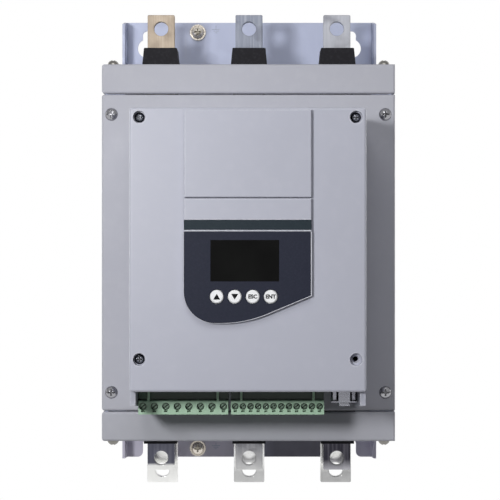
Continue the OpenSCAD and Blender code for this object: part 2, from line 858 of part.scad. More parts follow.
// Outline of the dark keypad panel
module keypad_outline() {
    x0 = -pad_w / 2;
    x1 = pad_w / 2 - keypad_trim;
    low_x = x0 + pad_w * keypad_low_share;
    bow_x = low_x + keypad_sweep_r * sin(keypad_slope);
    bow_z = keypad_z0 + keypad_sweep_r * (1 - cos(keypad_slope));
    end_x = x1 + over;
    difference() {
        rect(x0, keypad_z0, x1, keypad_z1);
        difference() {
            rect(x0 - over, keypad_z0 - over, x0 + keypad_r, keypad_z0 + keypad_r);
            translate([x0 + keypad_r, keypad_z0 + keypad_r]) circle(keypad_r, $fn = 96);
        }
        difference() {
            polygon([
                [low_x, keypad_z0 - over], [end_x, keypad_z0 - over],
                [end_x, bow_z + (end_x - bow_x) * tan(keypad_slope)], [bow_x, bow_z], [low_x, keypad_z0]
            ]);
            translate([low_x, keypad_z0 + keypad_sweep_r]) circle(keypad_sweep_r, $fn = 180);
        }
    }
}

module front_cover() {
    half = housing_w / 2;
    inner = cover_d - housing_wall;
    color("lightsteelblue") difference() {
        union() {
            difference() {
                soft_block(-half, half, cover_z0, cover_z1, rim_d, cover_d, cover_r, cover_edge);
                block(-half + housing_wall, half - housing_wall, cover_z0 + housing_wall,
                    cover_z1 - housing_wall, rim_d - over, inner);
            }
            for (x = [-cover_screw_xs, cover_screw_xs], z = [cover_screw_z0, cover_screw_z1])
                intersection() {
                    pin_y(x, z, cover_boss_d, rim_d, inner);
                    block(-half + cover_edge, half - cover_edge, cover_z0 + cover_edge, cover_z1 - cover_edge,
                        rim_d, cover_d);
                }
            difference() {
                soft_block(-pad_w / 2, pad_w / 2, keypad_z1, strip_z1, inner, cover_d + pad_t, pad_r, pad_r);
                block(-pad_w / 2 - over, pad_w / 2 + over, band_z0, band_z1,
                    cover_d + pad_t - band_t, cover_d + pad_t + over);
            }
        }
        for (x = [-cover_screw_xs, cover_screw_xs], z = [cover_screw_z0, cover_screw_z1]) {
            pin_y(x, z, recess_d, cover_d - recess_t, cover_d + over);
            pin_y(x, z, cover_hole_d, rim_d - over, cover_d + over);
        }
        block(opening_x0, opening_x1, opening_z0, opening_z1, inner - over, cover_d + over);
    }
}

module blank_plate() {
    color("lightsteelblue")
        soft_block(-pad_w / 2, pad_w / 2, strip_z1 + groove_h, cover_z1 - cover_edge, cover_d, cover_d + pad_t,
            pad_r, pad_r);
}

module trim_band() {
    color("darkslategray")
        soft_block(-pad_w / 2, pad_w / 2, band_z0, band_z1, cover_d + pad_t - band_t, cover_d + pad_t - fit,
            fit, fit);
}

module keypad_panel() {
    wx = window_x;
    color("darkslategray") {
        difference() {
            slab(cover_d, cover_d + keypad_t) keypad_outline();
            block(wx - window_w / 2, wx + window_w / 2, window_z0, window_z1,
                cover_d + keypad_t - window_t, cover_d + keypad_t + over);
            block(wx - window_w / 2 + window_lip, wx + window_w / 2 - window_lip, window_z0 + window_lip,
                window_z1 - window_lip, cover_d - over, cover_d + keypad_t + over);
            for (x = key_xs) pin_y(x, key_z, key_d + 2 * key_gap, cover_d - over, cover_d + keypad_t + over);
        }
        for (z = [opening_z0 + key_post_d, opening_z1 - key_post_d])
            pin_y(opening_x0 + key_post_d / 2 + fit, z, key_post_d, key_board_front, cover_d);
    }
}

module display_window() {
    color("black")
        soft_block(window_x - window_w / 2, window_x + window_w / 2, window_z0, window_z1,
            cover_d + keypad_t - window_t, cover_d + keypad_t, fit, fit);
}

module display_module() {
    margin = 2.2;
    bezel = 1;
    color("darkolivegreen") difference() {
        block(window_x - window_w / 2 + margin, window_x + window_w / 2 - margin,
            window_z0 + margin, opening_z1 - fit, key_board_front, cover_d);
        block(window_x - window_w / 2 + margin + bezel, window_x + window_w / 2 - margin - bezel,
            window_z0 + margin + bezel, window_z1 - margin, cover_d - bezel, cover_d + over);
    }
}

module keypad_board() {
    color("darkgreen") {
        block(opening_x0 + fit, opening_x1 - fit, opening_z0 + fit, opening_z1 - fit,
            key_board_front - key_board_t, key_board_front);
        for (x = key_xs) pin_y(x, key_z, dome_d, key_board_front, key_board_front + dome_h);
    }
}

// Key cap with its rim held behind the panel and a stem over its switch
module key(i) {
    front = cover_d + keypad_t + key_proud;
    rim_front = cover_d - key_gap;
    color("white") {
        face_front(key_xs[i], key_z, 0) rotate_extrude() polygon([
            [0, key_board_front + dome_h + key_travel + key_gap / 2],
            [key_stem_d / 2, key_board_front + dome_h + key_travel + key_gap / 2],
            [key_stem_d / 2, rim_front - key_rim_t], [key_d / 2 + key_rim, rim_front - key_rim_t],
            [key_d / 2 + key_rim, rim_front], [key_d / 2, rim_front],
            [key_d / 2, front - key_edge], [key_d / 2 - key_edge, front], [0, front]
        ]);
    }
}

module control_board() {
    relay_block = [17, 14, 15];
    relay_count = 3;
    relay_inset = 11;
    relay_gap = 4;
    chip = [22, 22, 2.4];
    can_d = 12;
    can_h = 20;
    can_inset = 18;
    can_pitch = 16.8;
    half = housing_w / 2 - housing_wall - board_margin;
    foot = plug_z1 + header_lip + header_roof;
    color("darkgreen") {
        difference() {
            block(-half, half, foot, board_top, board_d, board_front);
            for (x = [-cover_screw_xs, cover_screw_xs], z = [cover_screw_z0, cover_screw_z1])
                pin_y(x, z, cover_post_d + 2 * fit, board_d - over, board_front + over);
        }
        for (k = [0:relay_count - 1]) {
            x = relay_x0 + relay_inset + k * (relay_block[0] + relay_gap);
            z = foot + nose_h + header_roof + relay_gap;
            block(x, x + relay_block[0], z, z + relay_block[1], board_front, board_front + relay_block[2]);
        }
        block(-chip[0] / 2, chip[0] / 2, -chip[1] / 2, chip[1] / 2, board_front, board_front + chip[2]);
        for (k = [0:1]) pin_y(half - can_inset - can_pitch * k, board_top - can_d, can_d,
            board_front, board_front + can_h);
    }
}

// Header on the board's foot, open below, with its pins
module header(x0, w, poles, pitch) {
    z0 = plug_z1 + header_lip;
    z1 = plug_z1 + nose_h + header_gap;
    front = plug_back + nose_back + nose_d + header_gap;
    back = plug_back + nose_back - header_gap;
    color("darkolivegreen") {
        difference() {
            block(x0, x0 + w, z0, z1 + header_roof, board_front, front + header_wall);
            block(x0 + nose_inset - header_gap, x0 + w - nose_inset + header_gap, z0 - over, z1, back, front);
        }
        for (k = [0:poles - 1])
            translate([pole_x(x0, w, poles, pitch, k), -(back + front) / 2, z1 - pin_h])
                cylinder(h = pin_h + header_roof / 2, d = pin_d, $fn = 16);
    }
}

// Place of pole k along a plug
function pole_x(x0, w, poles, pitch, k) = x0 + w / 2 + (k - (poles - 1) / 2) * pitch;

// Side outline of a plug in depth and Z: its foot, its sloping front and its nose
module plug_side() {
    polygon([
        [plug_back, plug_z0], [plug_front, plug_z0], [plug_front, plug_z1 - plug_bevel_z],
        [plug_front - plug_bevel_d, plug_z1], [plug_back, plug_z1]
    ]);
}

module plug(x0, w, poles, pitch) {
    color("darkseagreen") difference() {
        union() {
            beam(x0, x0 + w) plug_side();
            block(x0 + nose_inset, x0 + w - nose_inset, plug_z1 - plug_bevel_z, plug_z1 + nose_h,
                plug_back + nose_back, plug_back + nose_back + nose_d);
            for (x = [x0 + tab_inset, x0 + w - tab_inset - tab_x])
                block(x, x + tab_x, plug_z1 - plug_bevel_z, plug_z1 + tab_h,
                    plug_front - tab_t - plug_bevel_d / 4, plug_front - plug_bevel_d / 4);
        }
        for (k = [0:poles - 1]) {
            x = pole_x(x0, w, poles, pitch, k);
            entry = pitch * entry_share;
            pin_y(x, plug_z1 - clamp_z, min(clamp_bore, pitch - 2 * fit), plug_front - clamp_deep, plug_front + over);
            block(x - probe_w / 2, x + probe_w / 2, plug_z1 - probe_z - probe_h / 2,
                plug_z1 - probe_z + probe_h / 2, plug_front - probe_deep, plug_front + over);
            block(x - entry / 2, x + entry / 2, plug_z0 - over, plug_z0 + entry_deep,
                plug_back + nose_back, plug_back + nose_back + entry_d);
            translate([x, -(plug_back + nose_back + nose_d / 2), plug_z1 + nose_h - pin_h - over])
                cylinder(h = pin_h + 2 * over, d = pin_bore, $fn = 16);
        }
    }
}

module clamp_screws(x0, w, poles, pitch) {
    slot_share = 0.2;
    slot_deep_share = 0.28;
    slot_turn = 40;
    d = min(clamp_d, pitch - 2 * fit - clamp_bore + clamp_d);
    h = clamp_deep - clamp_set;
    color("silver") for (k = [0:poles - 1])
        face_front(pole_x(x0, w, poles, pitch, k), plug_z1 - clamp_z, plug_front - clamp_deep) difference() {
            cylinder(h = h, d = d, $fn = 24);
            rotate([0, 0, slot_turn]) translate([-d, -d * slot_share / 2, h - d * slot_deep_share])
                cube([2 * d, d * slot_share, d]);
        }
}

module serial_port() {
    shell_d = port_flange_d - 2 * port_shell_wall;
    flange_a = board_front + port_d - port_flange_d;
    color("silver") {
        difference() {
            union() {
                block(port_x - port_w / 2, port_x + port_w / 2, port_z, port_z + port_h,
                    board_front, board_front + port_d);
                block(port_x - port_flange_w / 2, port_x + port_flange_w / 2, port_z, port_z + port_flange_t,
                    flange_a, flange_a + port_flange_d);
                column(port_z - port_shell_h, port_z)
                    round_rect(port_x - port_w / 2, flange_a + port_shell_wall,
                        port_x + port_w / 2, flange_a + port_shell_wall + shell_d, corner_r / 2);
            }
            column(port_z - port_shell_h - over, port_z + port_h / 2)
                round_rect(port_x - port_w / 2 + port_shell_wall, flange_a + 2 * port_shell_wall,
                    port_x + port_w / 2 - port_shell_wall, flange_a + shell_d, corner_r / 3);
        }
        for (side = [-1, 1])
            translate([port_x + side * nut_x, -(flange_a + port_flange_d / 2), port_z + port_flange_t])
                cylinder(h = port_nut_h, d = nut_d, $fn = 6);
    }
}

module firing_board() {
    color("darkgreen") {
        difference() {
            block(-firing_w / 2, firing_w / 2, firing_z0, firing_z1, firing_depth, firing_depth + board_t);
            for (x = spacer_xs, z = spacer_zs)
                pin_y(x, z, spacer_thread_d, firing_depth - over, firing_depth + board_t + over);
        }
        for (x = pole_xs)
            block(x - pulse_w / 2, x + pulse_w / 2, module_mid - pulse_h / 2, module_mid + pulse_h / 2,
                firing_depth + board_t, firing_depth + board_t + pulse_d);
    }
}

module board_spacers() {
    color("goldenrod") for (x = spacer_xs, z = spacer_zs) difference() {
        pin_y(x, z, spacer_d, sink_front, firing_depth);
        pin_y(x, z, spacer_thread_d, firing_depth - spacer_d, firing_depth + over);
    }
}

module module_screws() {
    head_h = 3;
    color("silver") for (x = pole_xs, side = [-1, 1])
        face_front(x, module_mid + side * foot_screw_z, sink_front + module_foot)
            pan_screw(foot_head_d, head_h, foot_screw_d - 4 * fit, sink_base);
}

// Hex bolt facing the front, its head on the given depth
module hex_bolt(x, z, seat, hex_d, head_h, shank_d, shank_h) {
    face_front(x, z, seat) {
        cylinder(h = head_h, d = hex_d, $fn = 6);
        translate([0, 0, -shank_h]) cylinder(h = shank_h + head_h / 2, d = shank_d);
    }
}

module busbar_bolts() {
    nut_seat = bar_back - bar_t;
    color("silver") for (x = pole_xs) {
        for (side = [-1, 1])
            hex_bolt(x, module_mid + side * boss_z, bar_front, stud_hex_d, hex_head_h,
                stud_d - stud_gap, bar_t + stud_depth - stud_room);
        hex_bolt(x, joint_z, bar_front, joint_hex_d, joint_hex_h, joint_d - stud_gap, 2 * bar_t + nut_h);
        face_front(x, joint_z, nut_seat - nut_h) cylinder(h = nut_h, d = joint_hex_d, $fn = 6);
    }
}

module body_screws() {
    head_d = 8.6;
    head_h = 2.6;
    length = 8;
    color("silver") for (x = [-screw_x, screw_x], z = screw_zs)
        face_front(x, z, body_d) pan_screw(head_d, head_h, pilot_d - fit, length);
}

// Screws in the caps: two in the top, two in the bottom and one sunk flush in each side of the bottom cap
module cap_screws() {
    head_d = 8.3;
    head_h = 4.4;
    length = 7;
    color("silver") for (side = [-1, 1]) {
        translate([side * cap_screw_x, -cap_screw_d, body_z1]) pan_screw(head_d, head_h, pilot_d - fit, length);
        translate([side * cap_screw_x, -cap_screw_d, body_z0]) rotate([180, 0, 0])
            pan_screw(head_d, head_h, pilot_d - fit, length);
        translate([side * body_w / 2, -cap_screw_d, body_z0 + side_screw_z]) rotate([0, -90 * side, 0])
            cylinder(h = length, d = pilot_d - fit);
    }
}

module cover_screws() {
    head_h = 2.4;
    length = 10;
    color("dimgray") for (p = captive_places)
        face_front(p[0], p[1], cover_d - recess_t) pan_screw(cover_head_d, head_h, cover_thread_d - fit, length);
}

module earth_screws() {
    color("khaki") for (z = earth_zs) {
        slab(plate_t, plate_t + washer_t) translate([earth_x, z]) difference() {
            circle(d = washer_d);
            circle(d = earth_thread_d);
        }
        face_front(earth_x, z, plate_t + washer_t)
            pan_screw(earth_head_d, earth_head_h, earth_thread_d - fit, plate_t + washer_t);
    }
}

mounting_chassis();
heatsink();
thyristor_module(0);  // thyristor_module_1
thyristor_module(1);  // thyristor_module_2
thyristor_module(2);  // thyristor_module_3
line_bar(0);  // line_bar_1
line_bar(1);  // line_bar_2
line_bar(2);  // line_bar_3
motor_bar(0);  // motor_bar_1
motor_bar(1);  // motor_bar_2
motor_bar(2);  // motor_bar_3
bypass_bar(0);  // bypass_bar_1
bypass_bar(1);  // bypass_bar_2
bypass_bar(2);  // bypass_bar_3
current_transformer(0);  // current_transformer_1
current_transformer(1);  // current_transformer_2
current_transformer(2);  // current_transformer_3
top_boot(0);  // top_boot_1
top_boot(1);  // top_boot_2
top_boot(2);  // top_boot_3
bottom_boot(0);  // bottom_boot_1
bottom_boot(1);  // bottom_boot_2
bottom_boot(2);  // bottom_boot_3
fan_frame(0);  // fan_frame_1
fan_frame(1);  // fan_frame_2
fan_rotor(0);  // fan_rotor_1
fan_rotor(1);  // fan_rotor_2
main_cover();
top_cap();
bottom_cap();
control_housing();
front_cover();
blank_plate();
trim_band();
keypad_panel();
display_window();
display_module();
keypad_board();
key(0);  // key_up
key(1);  // key_down
key(2);  // key_escape
key(3);  // key_enter
control_board();
header(relay_x0, relay_w, relay_poles, relay_pitch);  // relay_header
header(control_x0, control_w, control_poles, control_pitch);  // control_header
plug(relay_x0, relay_w, relay_poles, relay_pitch);  // relay_plug
plug(control_x0, control_w, control_poles, control_pitch);  // control_plug
clamp_screws(relay_x0, relay_w, relay_poles, relay_pitch);  // relay_clamp_screws
clamp_screws(control_x0, control_w, control_poles, control_pitch);  // control_clamp_screws
serial_port();
firing_board();
board_spacers();
module_screws();
busbar_bolts();
body_screws();
cap_screws();
cover_screws();
earth_screws();
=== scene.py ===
import math

import bmesh
import bpy
from mathutils import Matrix, Vector


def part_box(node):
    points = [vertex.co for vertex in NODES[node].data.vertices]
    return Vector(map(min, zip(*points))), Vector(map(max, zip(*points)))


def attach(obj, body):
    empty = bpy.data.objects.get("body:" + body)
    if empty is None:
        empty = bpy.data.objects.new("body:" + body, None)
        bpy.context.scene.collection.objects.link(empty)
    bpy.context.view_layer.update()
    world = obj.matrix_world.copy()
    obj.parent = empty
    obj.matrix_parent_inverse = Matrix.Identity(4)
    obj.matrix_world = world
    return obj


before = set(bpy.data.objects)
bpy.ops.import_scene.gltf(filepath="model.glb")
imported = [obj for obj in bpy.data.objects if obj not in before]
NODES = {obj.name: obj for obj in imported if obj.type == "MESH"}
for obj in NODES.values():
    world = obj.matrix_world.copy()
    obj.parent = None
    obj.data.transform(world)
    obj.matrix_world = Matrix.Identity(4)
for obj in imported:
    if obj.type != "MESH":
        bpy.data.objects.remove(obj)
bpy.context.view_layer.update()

MM = 0.001

# Photograph: how the picture was taken
IMAGE_PX = 500
PLATE_PX_PER_MM = 1.274
CAMERA_DISTANCE = 1.251
CAMERA_X = 0.0052
CAMERA_Z = -0.008
AXIS_PX = (256.05, 250)
SENSOR_MM = 36
CLIP_START = 0.01
CLIP_END = 50

# Stage
FLOOR_Z = -1.6
BACKDROP_Y = 1.6
BACKDROP_BEND = 0.6
BEND_STEPS = 10
STAGE_HALF = 4
FLOOR_COLOUR = (0.9, 0.9, 0.9, 1)
WHITE = (1, 1, 1, 1)

# World: even light on the object
AMBIENT = 0.074
AMBIENT_COLOUR = (0.98, 0.98, 1.0, 1)

# Room seen in reflections: strength runs from the third value to the fourth
# as the direction rises from the first to the second
ROOM_BELOW = (-0.118, -0.06, 1.0, 0.05)
ROOM_ABOVE = (0.04, 0.12, 0.0, 0.5)

# Lights: name, place, point they are turned to, width and height, watts
COVER_MIDDLE = (0, -0.2, -0.02)
BODY_MIDDLE = (0, -0.1, 0)
LIGHTS = (
    ("key", (-0.32, -0.98, 0.115), COVER_MIDDLE, (0.13, 0.13), 3.85),
    ("top_front", (0.0, -0.9, 0.7), COVER_MIDDLE, (0.8, 0.4), 3.5),
    ("behind_left", (-1.2, 0.6, 0.25), BODY_MIDDLE, (0.8, 0.8), 9),
    ("behind_right", (1.2, 0.6, 0.25), BODY_MIDDLE, (0.8, 0.8), 9),
)

# Shader sampling, and the spans over which noise and openness take effect
EDGE_SAMPLES = 4
CREASE_SAMPLES = 6
NOISE_SPAN = (0.3, 0.7)
EDGE_HIGHLIGHT_SPAN = (0.4, 0.6)
HALF_OPEN = 0.5
FULLY_OPEN = 0.95
INNER_PATCH = 0.7

# Wall plate's front below the body, where painted light and painted shade change along X
PLATE_LOW_Z = (-0.14, -0.13)
PLATE_FRONT_Y = (-0.0013, -0.0007)
PLATE_LIT_LEFT_X = (0.0, 0.01)
PLATE_SHADE_X = (-0.02, 0.02)
PLATE_LIT_RIGHT_X = (0.07, 0.076)

# First poles of the headers, beyond which painted shade darkens the plastic further
HEADER_SHADE_X = (-0.066, -0.06)

# Marks on the keys
MARK_PROUD = 0.00002
MARK_THICK = 0.0002
ARROW_HALF = 0.0022
ARROW_RISE = 0.0018
WORD_SIZE = 0.0034
WORD_WEIGHT = 0.045
WORD_STEPS = 3

# Rim of the cover round the keypad, paler than the cover as a painted highlight: width at its right
# and left ends, depth, set back
RIM_WIDE = 0.0005
RIM_THIN = 0.0001
RIM_DEEP = 0.0025
RIM_SET = 0.0001
SAME_POINT = 1e-6
SAME_LEVEL = 1e-5

# Stamped earth signs: places in X and Z, half length and drop of each bar
EARTH_MARKS = ((-0.0262, 0.1648), (-0.0262, -0.1612))
EARTH_BARS = ((0.0032, 0.0), (0.0021, -0.0013), (0.001, -0.0026))
EARTH_STEM = 0.003
EARTH_LINE = 0.0005
EARTH_PROUD = 0.00008
PLATE_FRONT = -0.002


def srgb(r, g, b):
    """Linear colour of an sRGB colour of 0 to 255."""
    def linear(v):
        v /= 255
        return v / 12.92 if v <= 0.04045 else ((v + 0.055) / 1.055) ** 2.4
    return (linear(r), linear(g), linear(b), 1.0)


# Tinned line bars: base, streaks, dull patches, roughness
LINE_TIN = (
    (srgb(166, 152, 136), srgb(190, 178, 162), srgb(130, 118, 106), 0.5),
    (srgb(128, 133, 146), srgb(176, 180, 190), srgb(84, 86, 98), 0.42),
    (srgb(172, 174, 182), srgb(196, 197, 203), srgb(124, 124, 132), 0.42),
)
# Polished lower bars: base, streaks, tarnish, foot, heights between which the foot's colour ends;
# base and foot are painted reflection, dark above and bright at the foot
MOTOR_TIN_AND_REFLECTION = (
    (srgb(92, 93, 106), srgb(122, 123, 134), srgb(62, 63, 72),
     srgb(250, 250, 248), (-0.1675, -0.1655)),
    (srgb(140, 140, 146), srgb(168, 168, 172), srgb(96, 96, 104),
     srgb(216, 216, 216), (-0.172, -0.152)),
    (srgb(58, 57, 66), srgb(118, 116, 124), srgb(36, 36, 42),
     srgb(190, 189, 196), (-0.171, -0.163)),
)
# Bypass bars, same columns: near-white bases are painted bright reflection, and the feet of the
# second and third are painted darker.
BYPASS_TIN_AND_REFLECTION = (
    (srgb(250, 250, 248), srgb(255, 255, 253), srgb(228, 228, 224),
     srgb(255, 255, 253), (-0.18, -0.17)),
    (srgb(250, 250, 250), srgb(255, 255, 255), srgb(196, 196, 196),
     srgb(206, 206, 206), (-0.175, -0.168)),
    (srgb(252, 252, 250), srgb(255, 255, 253), srgb(210, 210, 208),
     srgb(190, 190, 190), (-0.175, -0.168)),
)


def linked(name, data):
    """New object of the given data, in the scene."""
    obj = bpy.data.objects.new(name, data)
    bpy.context.collection.objects.link(obj)
    return obj


# Camera


def make_camera():
    """Camera on the photograph's axis, with its focal length from the plate's scale."""
    data = bpy.data.cameras.new("camera")
    data.sensor_width = SENSOR_MM
    focal_px = PLATE_PX_PER_MM / MM * CAMERA_DISTANCE
    data.lens = focal_px / IMAGE_PX * SENSOR_MM
    data.shift_x = (IMAGE_PX / 2 - AXIS_PX[0]) / IMAGE_PX
    data.shift_y = (AXIS_PX[1] - IMAGE_PX / 2) / IMAGE_PX
    data.clip_start = CLIP_START
    data.clip_end = CLIP_END
    camera = linked("camera", data)
    camera.location = (CAMERA_X, -CAMERA_DISTANCE, CAMERA_Z)
    camera.rotation_euler = (math.radians(90), 0, 0)
    bpy.context.scene.camera = camera


# Lights and stage


def make_lights():
    """Small key from the left in front, a wide soft light above and one behind each side."""
    for name, place, target, size, watts in LIGHTS:
        data = bpy.data.lights.new(name, "AREA")
        data.shape = "RECTANGLE"
        data.size, data.size_y = size
        data.energy = watts
        light = linked(name, data)
        light.location = place
        direction = Vector(target) - Vector(place)
        light.rotation_euler = direction.to_track_quat("-Z", "Y").to_euler()


def background(nodes, colour, strength=1):
    """Background shader of an even colour."""
    node = nodes.new("ShaderNodeBackground")
    node.inputs["Color"].default_value = colour
    node.inputs["Strength"].default_value = strength
    return node


def map_range(nodes, links, value, low, high, low_out, high_out):
    """Maps value from low..high to low_out..high_out, clamped."""
    node = nodes.new("ShaderNodeMapRange")
    node.inputs["From Min"].default_value = low
    node.inputs["From Max"].default_value = high
    node.inputs["To Min"].default_value = low_out
    node.inputs["To Max"].default_value = high_out
    links.new(value, node.inputs["Value"])
    return node.outputs["Result"]


def combine(nodes, links, operation, a, b):
    """Two values joined by one step of arithmetic."""
    node = nodes.new("ShaderNodeMath")
    node.operation = operation
    links.new(a, node.inputs[0])
    links.new(b, node.inputs[1])
    return node.outputs[0]


def mix_shaders(nodes, links, share, first, second):
    """First shader where share is 0, and the second where it is 1."""
    mix = nodes.new("ShaderNodeMixShader")
    links.new(share, mix.inputs[0])
    links.new(first, mix.inputs[1])
    links.new(second, mix.inputs[2])
    return mix.outputs[0]


def seen_white(nodes, links, shade, white, *rays):
    """White for the named kinds of ray, and the given shade for all others."""
    path = nodes.new("ShaderNodeLightPath")
    seen = path.outputs[rays[0]]
    for ray in rays[1:]:
        seen = combine(nodes, links, "MAXIMUM", seen, path.outputs[ray])
    return mix_shaders(nodes, links, seen, shade, white)


def room_in_reflections(nodes, links, ambient):
    """In reflections the room is dark at eye level, white below and pale above."""
    split = nodes.new("ShaderNodeSeparateXYZ")
    links.new(nodes.new("ShaderNodeTexCoord").outputs["Generated"], split.inputs[0])
    bands = [map_range(nodes, links, split.outputs["Z"], *band)
             for band in (ROOM_BELOW, ROOM_ABOVE)]
    room = background(nodes, WHITE)
    links.new(combine(nodes, links, "ADD", *bands), room.inputs["Strength"])
    glossy = nodes.new("ShaderNodeLightPath").outputs["Is Glossy Ray"]
    return mix_shaders(nodes, links, glossy, ambient, room.outputs[0])


def backdrop_profile():
    """Points in Y and Z of a floor that bends up into a wall."""
    profile = [(-STAGE_HALF, FLOOR_Z), (BACKDROP_Y - BACKDROP_BEND, FLOOR_Z)]
    for i in range(1, BEND_STEPS + 1):
        a = math.radians(90 * i / BEND_STEPS)
        profile.append((BACKDROP_Y - BACKDROP_BEND + BACKDROP_BEND * math.sin(a),
                        FLOOR_Z + BACKDROP_BEND * (1 - math.cos(a))))
    profile.append((BACKDROP_Y, STAGE_HALF))
    return profile


def make_floor():
    """Pale floor and backdrop in one sheet."""
    bm = bmesh.new()
    rows = [[bm.verts.new((x, y, z)) for x in (-STAGE_HALF, STAGE_HALF)]
            for y, z in backdrop_profile()]
    for a, b in zip(rows, rows[1:]):
        bm.faces.new((a[0], a[1], b[1], b[0]))
    mesh = bpy.data.meshes.new("floor")
    bm.to_mesh(mesh)
    bm.free()
    for face in mesh.polygons:
        face.use_smooth = True
    floor = linked("floor", mesh)
    mat = bpy.data.materials.new("floor_pale")
    mat.use_nodes = True
    nodes, links = mat.node_tree.nodes, mat.node_tree.links
    nodes.clear()
    out = nodes.new("ShaderNodeOutputMaterial")
    diffuse = nodes.new("ShaderNodeBsdfDiffuse")
    diffuse.inputs["Color"].default_value = FLOOR_COLOUR
    white = nodes.new("ShaderNodeEmission")
    white.inputs["Strength"].default_value = 1
    shade = seen_white(nodes, links, diffuse.outputs[0], white.outputs[0],
                       "Is Camera Ray", "Is Glossy Ray", "Is Transmission Ray")
    links.new(shade, out.inputs["Surface"])
    mesh.materials.append(mat)


def make_world():
    """Even light on the object, a room in its reflections and white behind it."""
    world = bpy.data.worlds.new("studio")
    bpy.context.scene.world = world
    world.use_nodes = True
    nodes, links = world.node_tree.nodes, world.node_tree.links
    nodes.clear()
    out = nodes.new("ShaderNodeOutputWorld")
    ambient = background(nodes, AMBIENT_COLOUR, AMBIENT)
    white = background(nodes, WHITE)
    shade = room_in_reflections(nodes, links, ambient.outputs[0])
    seen = seen_white(nodes, links, shade, white.outputs[0], "Is Camera Ray", "Is Transmission Ray")
    links.new(seen, out.inputs["Surface"])


# Materials


class Surface:
    """A material's node tree round one Principled shader, with short calls for its detail."""

    def __init__(self, name, colour, rough, metal=0.0, specular=0.5):
        self.mat = bpy.data.materials.new(name)
        self.mat.use_nodes = True
        self.nodes = self.mat.node_tree.nodes
        self.links = self.mat.node_tree.links
        self.shader = self.nodes["Principled BSDF"]
        self.colour = colour
        self.shader.inputs["Base Color"].default_value = colour
        self.shader.inputs["Roughness"].default_value = rough
        self.shader.inputs["Metallic"].default_value = metal
        self.shader.inputs["Specular IOR Level"].default_value = specular
        self.coords = self.nodes.new("ShaderNodeTexCoord").outputs["Object"]
        self.tint = None
        self.height = None

    def noise(self, scale, detail=3.0, stretch=(1, 1, 1), distortion=0.0):
        """Noise value of the given scale per metre, stretched along the axes."""
        mapping = self.nodes.new("ShaderNodeMapping")
        mapping.inputs["Scale"].default_value = stretch
        self.links.new(self.coords, mapping.inputs["Vector"])
        tex = self.nodes.new("ShaderNodeTexNoise")
        tex.inputs["Scale"].default_value = scale
        tex.inputs["Detail"].default_value = detail
        tex.inputs["Distortion"].default_value = distortion
        self.links.new(mapping.outputs[0], tex.inputs["Vector"])
        return tex.outputs["Fac"]

    def cells(self, scale):
        """Grey value that changes from cell to cell, as in a spangle."""
        tex = self.nodes.new("ShaderNodeTexVoronoi")
        tex.inputs["Scale"].default_value = scale
        self.links.new(self.coords, tex.inputs["Vector"])
        grey = self.nodes.new("ShaderNodeRGBToBW")
        self.links.new(tex.outputs["Color"], grey.inputs[0])
        return grey.outputs[0]

    def ramp(self, value, low, high, low_out, high_out):
        """Maps value from low..high to low_out..high_out, clamped."""
        return map_range(self.nodes, self.links, value, low, high, low_out, high_out)

    def along(self, axis, span, low_out, high_out):
        """Value that runs along X, Y or Z over a span, in metres."""
        split = self.nodes.new("ShaderNodeSeparateXYZ")
        self.links.new(self.coords, split.inputs[0])
        return self.ramp(split.outputs[axis], *span, low_out, high_out)

    def times(self, a, b):
        """Product of two values."""
        return combine(self.nodes, self.links, "MULTIPLY", a, b)

    def paint(self, colour, mask):
        """Mixes another colour over the base where mask is 1."""
        mix = self.nodes.new("ShaderNodeMix")
        mix.data_type = "RGBA"
        self.links.new(mask, mix.inputs["Factor"])
        if self.tint is None:
            mix.inputs["A"].default_value = self.colour
        else:
            self.links.new(self.tint, mix.inputs["A"])
        mix.inputs["B"].default_value = colour
        self.tint = mix.outputs["Result"]
        self.links.new(self.tint, self.shader.inputs["Base Color"])

    def fleck(self, colour, value, start, full, amount):
        """Mixes in an amount of a colour as a value runs from start to full."""
        self.paint(colour, self.ramp(value, start, full, 0, amount))

    def openness(self, distance, inside=False):
        """Share of the space round a point that is open within a distance."""
        occlusion = self.nodes.new("ShaderNodeAmbientOcclusion")
        occlusion.inside = inside
        occlusion.samples = CREASE_SAMPLES
        occlusion.inputs["Distance"].default_value = distance
        return occlusion.outputs["AO"]

    def painted_edge_highlight(self, colour, amount, distance):
        """Paints a highlight colour along convex edges, broken up by noise."""
        edge = self.ramp(self.openness(distance, inside=True), HALF_OPEN, FULLY_OPEN, amount, 0)
        broken = self.ramp(self.noise(400), *EDGE_HIGHLIGHT_SPAN, 0.2, 1)
        self.paint(colour, self.times(edge, broken))

    def painted_crease_shade(self, colour, amount, distance, full=0.3):
        """Paints shade into creases and corners, in full where no more than a given share is open.
        """
        self.paint(colour, self.ramp(self.openness(distance), full, FULLY_OPEN, amount, 0))

    def roughness(self, value, low, high):
        """Lets the roughness follow a value."""
        rough = self.ramp(value, *NOISE_SPAN, low, high)
        self.links.new(rough, self.shader.inputs["Roughness"])

    def bump(self, value, distance, strength):
        """Adds relief of the given distance in metres, one layer on another."""
        node = self.nodes.new("ShaderNodeBump")
        node.inputs["Distance"].default_value = distance
        node.inputs["Strength"].default_value = strength
        self.links.new(value, node.inputs["Height"])
        if self.height is not None:
            self.links.new(self.height, node.inputs["Normal"])
        self.height = node.outputs["Normal"]
        self.links.new(self.height, self.shader.inputs["Normal"])

    def edges(self, radius):
        """Rounds the look of sharp edges."""
        bevel = self.nodes.new("ShaderNodeBevel")
        bevel.samples = EDGE_SAMPLES
        bevel.inputs["Radius"].default_value = radius
        self.height = bevel.outputs["Normal"]
        self.links.new(self.height, self.shader.inputs["Normal"])


